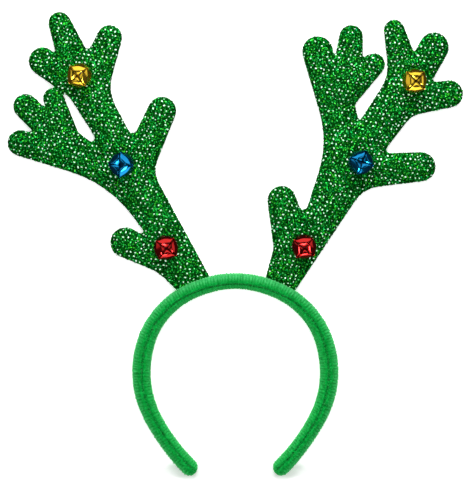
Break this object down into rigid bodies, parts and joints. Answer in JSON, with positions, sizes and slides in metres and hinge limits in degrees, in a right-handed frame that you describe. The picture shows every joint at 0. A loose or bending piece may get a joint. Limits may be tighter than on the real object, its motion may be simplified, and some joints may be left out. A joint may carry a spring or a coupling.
{
  "type": "reindeer antler headband",
  "caption": "Plush-covered hair band with a pair of padded glitter-knit reindeer antlers and small coloured jingle bells sewn on them.",
  "frame": {"origin": "middle of the headband's outline as it lies on its back, on the surface it lies on", "axes": "+Z out of the front face with the bells, +Y from the band's open ends to the antlers, +X to the viewer's right when looking at the front"},
  "size_m": [0.3034, 0.3086, 0.0231],
  "materials": {
    "plush": "short green velour pile",
    "glitter_knit": "green knit with sparkling metallic yarn",
    "bell_gold": "glossy metallic lacquer",
    "bell_blue": "glossy metallic lacquer",
    "bell_red": "glossy metallic lacquer",
    "pellet_steel": "plain"
  },
  "bodies": {
    "root": {"headband": "plush", "antler_left": "glitter_knit", "antler_right": "glitter_knit", "bell_gold_left": "bell_gold", "bell_gold_right": "bell_gold", "bell_blue_left": "bell_blue", "bell_blue_right": "bell_blue", "bell_red_left": "bell_red", "bell_red_right": "bell_red", "pellet_gold_left": "pellet_steel", "pellet_gold_right": "pellet_steel", "pellet_blue_left": "pellet_steel", "pellet_blue_right": "pellet_steel", "pellet_red_left": "pellet_steel", "pellet_red_right": "pellet_steel"}
  },
  "joints": []
}
